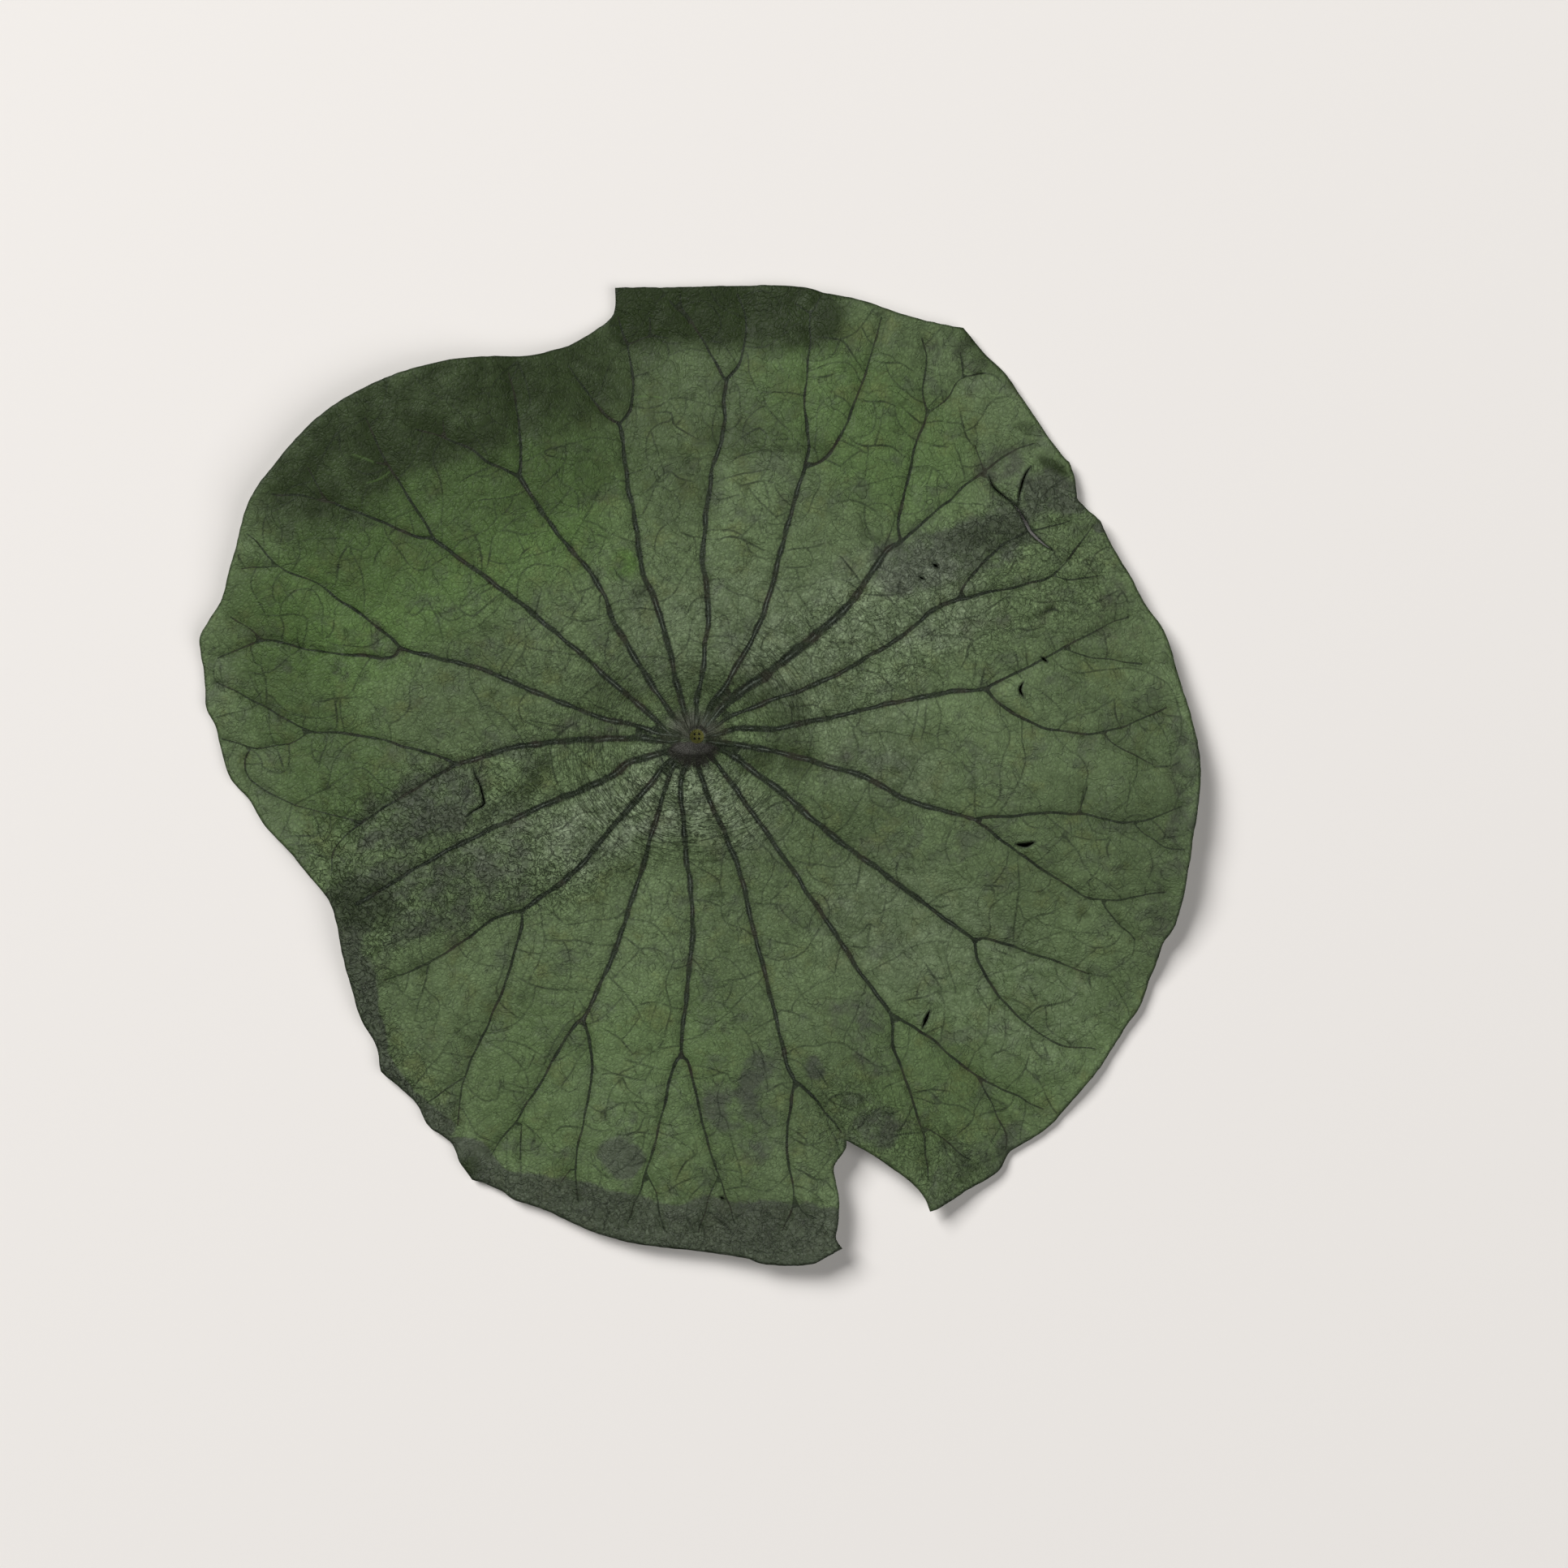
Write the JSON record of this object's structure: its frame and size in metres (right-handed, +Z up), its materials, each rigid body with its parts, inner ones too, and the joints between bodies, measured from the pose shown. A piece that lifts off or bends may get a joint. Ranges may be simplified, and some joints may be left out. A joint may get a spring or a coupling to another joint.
{
  "type": "lotus leaf",
  "caption": "Large round preserved lotus leaf with forking radial veins, a raised hub and a short cut stalk stub, lying flat and face up.",
  "frame": {"origin": "on the table, under the middle of the leaf's bounding box; the leaf rests there on its stalk stub and on the low lobes of its margin", "axes": "+Z up, out of the upper face of the leaf; +Y from the hub towards the flat stretch of the margin; +X to the right seen from above"},
  "size_m": [0.2469, 0.242, 0.0094],
  "materials": {
    "preserved_leaf": "dull waxy leaf surface, grey green with violet grey patches, sunken dark veins above and paler raised ribs below"
  },
  "bodies": {
    "root": {"lotus_leaf": "preserved_leaf"}
  },
  "joints": []
}
